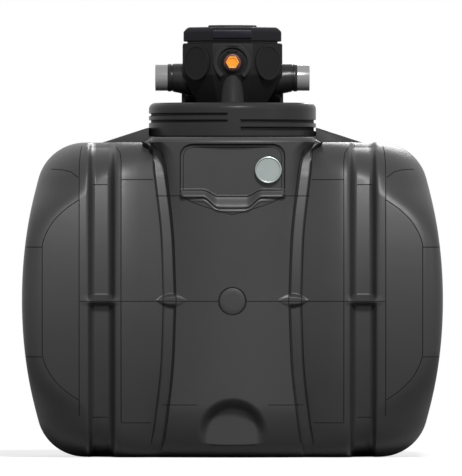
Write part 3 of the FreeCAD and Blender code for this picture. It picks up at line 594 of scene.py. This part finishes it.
def panel_lines(material):
    """Fine lines that edge the panels, grooves, pad and pocket, and the parting line."""
    rises = np.linspace(-420, 420, 150)
    turned_in = [(float(corner_line(abs(rise))), MIDDLE + rise) for rise in rises]
    up = np.linspace(0, 630, 60)
    down = np.linspace(0, 600, 60)
    inner = [(float(plain_inner_edge(rise)), MIDDLE - rise) for rise in down[::-1]]
    inner += [(float(flared_inner_edge(rise)), MIDDLE + rise) for rise in up[1:]]
    outer = [(float(plain_outer_edge(rise)), MIDDLE - rise) for rise in down[::-1]]
    outer += [(float(flared_outer_edge(rise)), MIDDLE + rise) for rise in up[1:]]
    sides = mirrored([
        turned_in, inner, outer,
        [(332, 1163), (466, 1163)], [(522, 1142), (584, 1142)], [(218, 1095), (322, 1095)],
        [(148, 222), (296, 222)], [(522, 170), (584, 170)], [(340, 147), (466, 147)],
        [(796, 881), (864, 881)], [(796, 423), (864, 423)],
        [(760, 1207), (714, 1205), (677, 1196), (645, 1173)],
        [(640, 175), (640, 1230), (636, 1280), (631, 1304)],
        [(465, 150), (465, 1240), (470, 1275), (486, 1300)],
    ])
    frame_line = rounded([(-PAD_HALF_WIDTH, 1112, 0), (-PAD_HALF_WIDTH, PAD_TOP, PAD_CORNER),
                          (PAD_HALF_WIDTH, PAD_TOP, PAD_CORNER), (PAD_HALF_WIDTH, 1112, 0)], steps=10)
    smile = [(x, float(lip_foot(abs(x)))) for x in np.linspace(-214, 214, 60)]
    above = [(x, float(ledge_top(abs(x))) + 3) for x in np.linspace(-212, 212, 90)]
    below = [(x, float(ledge_foot(abs(x))) - 7) for x in np.linspace(-150, 150, 60)]
    middle = [[(-640, 655), (-60, 655)], [(60, 655), (640, 655)], [(-95, 54), (95, 54)], smile, above,
              below]
    beads("panel_lines", sides + middle, 4.6, 0.8, material)
    beads("pad_line", [frame_line], 6.5, 0.9, material)
    inner_line = rounded([(-205, 1122, 0), (-205, 1297, 44), (205, 1297, 44), (205, 1122, 0)], steps=10)
    beads("pad_inner_line", [inner_line], 3.4, 0.8, material)


def ramps(material):
    """Two ramps that lead from the roof up to the collar."""
    outline = rounded([(330, RAMP_FOOT, 0), (330, 1346, 0), (COLLAR_RADIUS, 1346, 0),
                       (COLLAR_RADIUS, 1383, 0), (360, 1381.5, 6), (546, 1321, 14), (560, 1319, 0)])
    for side, sign in (("left", -1), ("right", 1)):
        rings = []
        for y, drop in ((-150, 90), (-150, 12), (-147, 5), (-140, 1), (-130, 0), (130, 0), (140, 1), (147, 5),
                        (150, 12), (150, 90)):
            heights = np.maximum(outline[:, 1] - drop, RAMP_FOOT)
            rings.append(np.column_stack([outline[:, 0] * sign, np.full(len(outline), y), heights]))
        faces = grid_faces(len(rings), len(outline), flip=sign < 0)
        sharpen(make_piece(f"{side}_ramp", np.concatenate(rings), faces, material))


def small_discs(disc_material, metal, line_and_shade_material):
    """Disc on the parting line with its dark ring, and the bare round plate with a raised rim on the pad."""
    face = [(0.4, 651.6), (30, 651.5), (50, 651.2), (52.6, 650.4), (53.4, 648), (53.4, 644)]
    lathe("seam_disc_skin", face[::-1], (0, 0, DISC_HEIGHT), (0, -1, 0), disc_material,
          ["seam_disc"])
    ring = [(59.6, 647.5), (59, 651), (56.5, 651.6), (54, 651), (53.4, 647.5)]
    lathe("seam_disc_ring", ring, (0, 0, DISC_HEIGHT), (0, -1, 0), line_and_shade_material)
    rim = [(56, 622), (56, 638), (55.2, 640.2), (53.5, 641), (50.5, 641), (49, 640.2), (48, 638.2), (30, 638),
           (0.4, 638)]
    lathe("plate_skin", rim, (150, 0, 1203), (0, -1, 0), metal, ["round_plate"])


def collar_relief(angle, height):
    """Depth of the bayonet grooves, two on the left and two on the right; the lathe's angle 0 is the back."""
    angle = np.where(angle >= 0, 180 - angle, -180 - angle)
    depth = 0
    for middle, tall, first, last in COLLAR_GROOVES:
        around = ease(first, first + GROOVE_EDGE, angle) * ease(last, last - GROOVE_EDGE, angle)
        within = ease(tall / 2 + GROOVE_EDGE, tall / 2 - GROOVE_EDGE, np.abs(height - middle))
        depth = depth + GROOVE_DEPTH * around * within
    return depth


def neck(material, groove_shade_material):
    """Collar with its grooves, and the cover with a rounded edge that closes it round the housing; the
    grooves' deep faces are coloured near-black as painted shade.
    """
    wall = [(COLLAR_RADIUS, level) for level in np.arange(1349, 1459, 1.5)]
    turn = [(COLLAR_RADIUS - NECK_ROUNDING + NECK_ROUNDING * math.cos(angle),
             NECK_TOP - NECK_ROUNDING + NECK_ROUNDING * math.sin(angle))
            for angle in np.linspace(0, math.pi / 2, 12)]
    foot = [(318, 1341.5), (346, 1341.5), (346.5, 1346.5), (351.4, 1347.2)]
    profile = foot + wall + turn + [(240, NECK_TOP), (138, NECK_TOP)]
    piece = lathe("neck_skin", profile, (0, 0, 0), (0, 0, 1), material,
                  ["neck_collar", "neck_cover"], turn=(-180, 180), count=360, relief=collar_relief)
    # Painted shade: the faces deep in the bayonet grooves take the near-black material.
    piece.data.materials.append(groove_shade_material)
    for face in piece.data.polygons:
        deep = face.center.xy.length / MM < COLLAR_RADIUS - GROOVE_DEPTH / 2
        if deep and GROOVE_SHADE_BAND[0] < face.center.z / MM < GROOVE_SHADE_BAND[1]:
            face.material_index = 1


def housing(body_material, ring_material, riser_material, cover_material, line_and_shade_material):
    """Filter housing: tapered foot, eight-sided body, horseshoe boss, riser, blank covers, and near-black
    bars as painted shade in the vent slots.
    """
    levels = [(NECK_TOP, 147, 3), (1600, 207.5, 7), (1606, 209.6, 8), (1612, 210, 8), (1730, 210, 8),
              (1736, 207.6, 8), (1738, 203, 8), (1738, 150, 8)]
    stack("housing_skin", octagons(levels), body_material,
          ["housing_foot", "housing_body"], caps=(False, True))
    lip = rounded([(80, 206, 0), (80, 221, 4), (62, 221, 4), (60, 206, 0)], steps=4)
    lathe("boss_ring", lip, (0, 0, BOSS_AXIS), (0, -1, 0), ring_material, ["plug_boss"],
          turn=(-142, 142), count=90)
    dish = rounded([(51, 205, 0), (51, 213, 3), (44, 213.5, 3), (43, 219, 3), (36, 220, 3), (35, 214, 0),
                    (0.4, 214, 0)], steps=4)
    lathe("plug_ring_skin", dish, (0, 0, BOSS_AXIS), (0, -1, 0), cover_material,
          ["plug_ring"])
    tube = []
    turns = np.radians(np.linspace(-90, 90, 40))
    for level, radius in ((1486, 48.5), (1492, 49), (1496, 47.5), (1604, 47.5), (1614, 46), (1620, 42)):
        front = np.stack([radius * np.sin(turns), RISER_AXIS - radius * np.cos(turns)], axis=1)
        back = [(radius, RISER_BACK), (-radius, RISER_BACK)]
        tube.append(level_ring(np.concatenate([front, back]), level))
    stack("riser_skin", tube, riser_material, ["riser_tube"])
    edge = rounded([(75, 206, 0), (75, 217, 3), (66, 218, 3), (64, 216, 2), (30, 216.4, 0), (0.4, 216.4, 0)],
                   steps=4)
    for name, sx, sy in (("front_left", -1, -1), ("front_right", 1, -1), ("back_left", -1, 1),
                         ("back_right", 1, 1)):
        lathe(f"{name}_cover_skin", edge, (0, 0, BOSS_AXIS), (sx, sy, 0), cover_material,
              [f"{name}_blank_cover"])
    # Painted shade: near-black bars stand just proud of the boss where the vent slots are.
    for height, half, tall in ((1725, 28, 7), (1703, 22, 5)):
        low, high = height - tall / 2, height + tall / 2
        bar = rounded([(-half, low, 2), (half, low, 2), (half, high, 2), (-half, high, 2)], closed=True)
        rings = [np.column_stack([bar[:, 0], np.full(len(bar), y), bar[:, 1]]) for y in (-208, -221.6)]
        stack(f"vent_slot_shade_{height}", rings, line_and_shade_material)


def hexagon(width):
    """Outline of a hexagon with corners left and right, softened."""
    turns = np.radians(np.arange(0, 360, 60))
    corners = [(width / 2 * math.cos(turn), width / 2 * math.sin(turn), 3) for turn in turns]
    return rounded(corners, closed=True, steps=3)


def plug(body_material, rim_highlight_material, washer_material):
    """Hexagon plug with a raised rim, on its washer; the rim is coloured a lighter orange than the face as a
    painted highlight.
    """
    def ring(width, front):
        outline = hexagon(width)
        return np.column_stack([outline[:, 0], np.full(len(outline), -front), BOSS_AXIS + outline[:, 1]])

    # Painted highlight: the hex sides and the rounded front edge take the lighter orange.
    stack("hex_plug_skin", [ring(57, 214), ring(57, 246), ring(54, 251), ring(50, 252)], rim_highlight_material,
          ["hex_plug"], caps=(False, False))
    stack("hex_plug_face", [ring(50, 252), ring(44, 251.4), ring(41, 247.5), ring(30, 247.2)], body_material,
          caps=(False, True))
    washer = rounded([(36, 212, 0), (36, 224, 3), (24, 225, 0)], steps=4)
    lathe("plug_washer", washer, (0, 0, BOSS_AXIS), (0, -1, 0), washer_material)


def lid(lid_material, latch_material, seal_and_shade_material):
    """Seal, lid with a chamfered edge, its raised centre and the latch block at the front; the seal's
    near-black is partly the rubber's own colour and partly painted shade for the gap between housing and lid.
    """
    levels = [(1738, 184, 6), (1739.5, 190, 6), (1744.5, 190, 6), (1746, 184, 6)]
    stack("lid_seal_skin", octagons(levels), seal_and_shade_material, ["lid_seal"])
    levels = [(1746.5, 196, 8), (1747, 203, 9), (1749, 206, 10), (1783, 206, 10), (1787, 205, 10),
              (1800, 193, 10), (1804, 187, 10), (1806, 178, 10)]
    stack("lid_skin", octagons(levels), lid_material, ["housing_lid"])
    levels = [(1805, 103, 8), (1811, 102, 8), (1814, 100, 8), (1815, 96, 8)]
    stack("lid_centre_skin", octagons(levels), lid_material, ["lid_centre"])
    low, high = LATCH_MIDDLE - LATCH_HALF_HEIGHT, LATCH_MIDDLE + LATCH_HALF_HEIGHT
    block = rounded([(-LATCH_HALF_WIDTH, low, 5), (LATCH_HALF_WIDTH, low, 5), (LATCH_HALF_WIDTH, high, 5),
                     (-LATCH_HALF_WIDTH, high, 5)], closed=True)
    rings = []
    for front, shrink in ((204, 0), (213, 0), (216.4, 1.4), (217.6, 4)):
        across = block[:, 0] * (1 - shrink / LATCH_HALF_WIDTH)
        heights = LATCH_MIDDLE + (block[:, 1] - LATCH_MIDDLE) * (1 - shrink / LATCH_HALF_HEIGHT)
        rings.append(np.column_stack([across, np.full(len(block), -front), heights]))
    stack("lid_latch_skin", rings, latch_material, ["lid_latch"])


def pipes(sleeve_material, pipe_material):
    """Sleeves that widen downwards into the housing, with a grooved mouth, and the pipe stubs in them."""
    for name, sign in (("inlet", -1), ("outlet", 1)):
        rings = []
        turns = np.linspace(0, 2 * math.pi, SLEEVE_SIDES, endpoint=False) * sign
        for along, top, bottom in ((150, 1654, 1512), (164, 1654, 1517), (236, 1654, 1532), (250, 1653, 1535),
                                   (252, 1650, 1538), (257, 1650, 1538), (259, 1652.5, 1535.5),
                                   (270, 1652, 1536), (273, 1650, 1538), (273.4, 1647, 1541)):
            radius = (top - bottom) / 2
            rings.append(np.stack([np.full(SLEEVE_SIDES, along * sign), radius * np.sin(turns),
                                   (top + bottom) / 2 + radius * np.cos(turns)], axis=1))
        stack(f"{name}_sleeve_skin", rings, sleeve_material,
              [f"{name}_sleeve", f"{name}_ring"], caps=(False, False))
        wall = [(55, 240), (55, 322), (54.2, 324.4), (53, 325), (52.4, 324.4), (51.8, 322), (51.8, 180)]
        lathe(f"{name}_pipe_skin", wall, (0, 0, PIPE_AXIS), (sign, 0, 0), pipe_material,
              [f"{name}_pipe"])


def plastic(name, colour, roughness, grain=0.00012, patch=0.12, specular=0.5, metallic=0.0):
    """Moulded plastic or dull metal: fine pebbled grain, faint patches of colour and gloss, shallow waves."""
    material = bpy.data.materials.new(name)
    material.use_nodes = True
    nodes = material.node_tree.nodes
    links = material.node_tree.links
    shader = nodes["Principled BSDF"]
    shader.inputs["Specular IOR Level"].default_value = specular
    shader.inputs["Metallic"].default_value = metallic
    place = nodes.new("ShaderNodeTexCoord").outputs["Object"]
    patches = noise(nodes, links, place, scale=5.0, detail=4)
    shade = nodes.new("ShaderNodeMix")
    shade.data_type = "RGBA"
    shade.inputs["A"].default_value = (*[part * (1 - patch) for part in colour], 1)
    shade.inputs["B"].default_value = (*[part * (1 + patch) for part in colour], 1)
    links.new(patches, shade.inputs["Factor"])
    links.new(shade.outputs["Result"], shader.inputs["Base Color"])
    gloss = nodes.new("ShaderNodeMapRange")
    gloss.inputs["To Min"].default_value = roughness - GLOSS_SPREAD
    gloss.inputs["To Max"].default_value = roughness + GLOSS_SPREAD
    links.new(noise(nodes, links, place, scale=38.0, detail=3), gloss.inputs["Value"])
    links.new(gloss.outputs["Result"], shader.inputs["Roughness"])
    pebbles = bump(nodes, links, noise(nodes, links, place, scale=420.0, detail=2), grain)
    waves = bump(nodes, links, noise(nodes, links, place, scale=7.0, detail=1), WAVE_DEPTH)
    links.new(waves.outputs["Normal"], pebbles.inputs["Normal"])
    links.new(pebbles.outputs["Normal"], shader.inputs["Normal"])
    return material


def noise(nodes, links, place, scale, detail):
    """Noise over the object's own coordinates."""
    node = nodes.new("ShaderNodeTexNoise")
    node.inputs["Scale"].default_value = scale
    node.inputs["Detail"].default_value = detail
    links.new(place, node.inputs["Vector"])
    return node.outputs["Fac"]


def bump(nodes, links, height, distance):
    """Bump from a height, its depth in metres."""
    node = nodes.new("ShaderNodeBump")
    node.inputs["Distance"].default_value = distance
    node.inputs["Strength"].default_value = BUMP_STRENGTH
    links.new(height, node.inputs["Height"])
    return node


def srgb(red, green, blue):
    """Linear colour of an sRGB colour from 0 to 255."""
    return [((part / 255 + 0.055) / 1.055) ** 2.4 if part > 10 else part / 255 / 12.92
            for part in (red, green, blue)]


tank_plastic = plastic("tank_plastic", srgb(46, 46, 46), roughness=0.42, specular=0.36)
neck_plastic = plastic("neck_plastic", srgb(47, 47, 48), roughness=0.32, specular=0.1)
housing_plastic = plastic("housing_plastic", srgb(29, 29, 30), roughness=0.5, specular=0.08)
cover_plastic = plastic("blank_cover_plastic", srgb(28, 28, 29), roughness=0.5, specular=0.08)
lid_plastic = plastic("lid_plastic", srgb(28, 28, 31), roughness=0.5, specular=0.08)
pipe_plastic = plastic("pipe_plastic", srgb(128, 128, 128), roughness=0.22, grain=0.00004, patch=0.04,
                       specular=0.8)
# Rubber of the lid seal, darker than the housing: partly its own colour, partly painted shade in the gap
# under the lid.
seal_rubber = plastic("seal_rubber", srgb(17, 17, 17), roughness=0.55)
plug_plastic = plastic("plug_plastic", srgb(246, 150, 28), roughness=0.36, grain=0.00005, patch=0.06)
plate_metal = plastic("plate_metal", srgb(150, 158, 156), roughness=0.34, grain=0.00005, patch=0.05,
                      metallic=1.0)
# Lighter copy of the plug's orange: painted highlight on the plug's rim.
rim_highlight_plastic = plastic("plug_rim_highlight_plastic", srgb(255, 186, 88), roughness=0.36, grain=0.00005, patch=0.06)
washer_plastic = plastic("plug_washer_plastic", srgb(84, 30, 8), roughness=0.4)
boss_plastic = plastic("boss_plastic", srgb(41, 41, 42), roughness=0.42, specular=0.1)
riser_plastic = plastic("riser_plastic", srgb(40, 40, 40), roughness=0.5, specular=0.12)
latch_plastic = plastic("latch_plastic", srgb(29, 29, 36), roughness=0.42, specular=0.1)
sleeve_plastic = plastic("sleeve_plastic", srgb(29, 29, 29), roughness=0.28, specular=0.25)
ramp_plastic = plastic("ramp_plastic", srgb(58, 58, 58), roughness=0.5, specular=0.1)
# Near-black: the fine edge lines, and painted shade in the collar's grooves and the vent slots.
lines_and_shade_plastic = plastic("lines_and_shade_plastic", srgb(9, 9, 9), roughness=0.7, specular=0.2)

shell_walls(tank_plastic)
shell_ends(tank_plastic)
shell_plates(tank_plastic)
ramps(ramp_plastic)
panel_lines(lines_and_shade_plastic)
small_discs(tank_plastic, plate_metal, lines_and_shade_plastic)
neck(neck_plastic, lines_and_shade_plastic)
housing(housing_plastic, boss_plastic, riser_plastic, cover_plastic, lines_and_shade_plastic)
plug(plug_plastic, rim_highlight_plastic, washer_plastic)
lid(lid_plastic, latch_plastic, seal_rubber)
pipes(sleeve_plastic, pipe_plastic)

back_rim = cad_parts["housing_back_rim"]
back_rim.data.materials.clear()
back_rim.data.materials.append(cover_plastic)


def stage():
    """White floor that keeps the tank's shadow, white surroundings, soft studio lamps and the camera."""
    scene = bpy.context.scene
    scene.view_settings.view_transform = "Standard"
    mesh = bpy.data.meshes.new("studio_floor")
    corners = [(x * FLOOR_HALF, y * FLOOR_HALF, -FLOOR_DROP) for x, y in ((-1, -1), (1, -1), (1, 1), (-1, 1))]
    mesh.from_pydata(corners, [], [(0, 1, 2, 3)])
    floor = bpy.data.objects.new("studio_floor", mesh)
    scene.collection.objects.link(floor)
    white = bpy.data.materials.new("studio_white")
    white.use_nodes = True
    nodes = white.node_tree.nodes
    links = white.node_tree.links
    nodes.clear()
    matt = nodes.new("ShaderNodeBsdfDiffuse")
    matt.inputs["Color"].default_value = (FLOOR_GREY, FLOOR_GREY, FLOOR_GREY, 1)
    glow = nodes.new("ShaderNodeEmission")
    glow.inputs["Strength"].default_value = FLOOR_GLOW
    both = nodes.new("ShaderNodeAddShader")
    path = nodes.new("ShaderNodeLightPath")
    mix = nodes.new("ShaderNodeMixShader")
    links.new(matt.outputs[0], both.inputs[0])
    links.new(glow.outputs[0], both.inputs[1])
    links.new(path.outputs["Is Camera Ray"], mix.inputs["Fac"])
    links.new(matt.outputs[0], mix.inputs[1])
    links.new(both.outputs[0], mix.inputs[2])
    links.new(mix.outputs[0], nodes.new("ShaderNodeOutputMaterial").inputs["Surface"])
    mesh.materials.append(white)

    world = bpy.data.worlds.new("studio")
    scene.world = world
    world.use_nodes = True
    nodes = world.node_tree.nodes
    links = world.node_tree.links
    light = nodes["Background"]
    light.inputs["Color"].default_value = (1, 1, 1, 1)
    light.inputs["Strength"].default_value = WORLD_LIGHT
    plain = nodes.new("ShaderNodeBackground")
    plain.inputs["Color"].default_value = (1, 1, 1, 1)
    plain.inputs["Strength"].default_value = 1
    path = nodes.new("ShaderNodeLightPath")
    mix = nodes.new("ShaderNodeMixShader")
    shown = path.outputs["Is Camera Ray"]
    for kind in ("Is Transmission Ray", "Is Glossy Ray"):
        either = nodes.new("ShaderNodeMath")
        either.operation = "MAXIMUM"
        links.new(shown, either.inputs[0])
        links.new(path.outputs[kind], either.inputs[1])
        shown = either.outputs[0]
    links.new(shown, mix.inputs["Fac"])
    links.new(light.outputs[0], mix.inputs[1])
    links.new(plain.outputs[0], mix.inputs[2])
    links.new(mix.outputs[0], nodes["World Output"].inputs["Surface"])

    lamp("key", azimuth=9, elevation=38, distance=16.0, size=2.5, power=2480)
    lamp("fill", azimuth=-60, elevation=12, distance=9.0, size=4.0, power=6)
    lamp("back", azimuth=172, elevation=24, distance=16.0, size=4.0, power=500)
    lamp("side", azimuth=55, elevation=16, distance=9.0, size=3.0, power=60)

    camera = bpy.data.objects.new("camera", bpy.data.cameras.new("camera"))
    scene.collection.objects.link(camera)
    camera.data.sensor_fit = "VERTICAL"
    camera.data.sensor_height = SENSOR
    camera.data.lens = SENSOR * CAMERA_DISTANCE / FRAME_HEIGHT
    camera.data.clip_end = CAMERA_REACH
    camera.location = (CAMERA_SIDE, -CAMERA_DISTANCE, CAMERA_HEIGHT)
    camera.rotation_euler = (math.pi / 2, 0, 0)
    scene.camera = camera


def lamp(name, azimuth, elevation, distance, size, power):
    """Put a square lamp at an angle to the front, aimed at the tank; lengths in metres, power in watts."""
    light = bpy.data.lights.new(name, "AREA")
    light.size = size
    light.energy = power
    item = bpy.data.objects.new(name, light)
    turn = math.radians(azimuth)
    lift = math.radians(elevation)
    aim = Vector((0, 0, LAMP_AIM))
    toward = Vector((math.sin(turn) * math.cos(lift), -math.cos(turn) * math.cos(lift), math.sin(lift)))
    item.location = aim + distance * toward
    item.rotation_euler = (aim - item.location).to_track_quat("-Z", "Y").to_euler()
    bpy.context.scene.collection.objects.link(item)


stage()
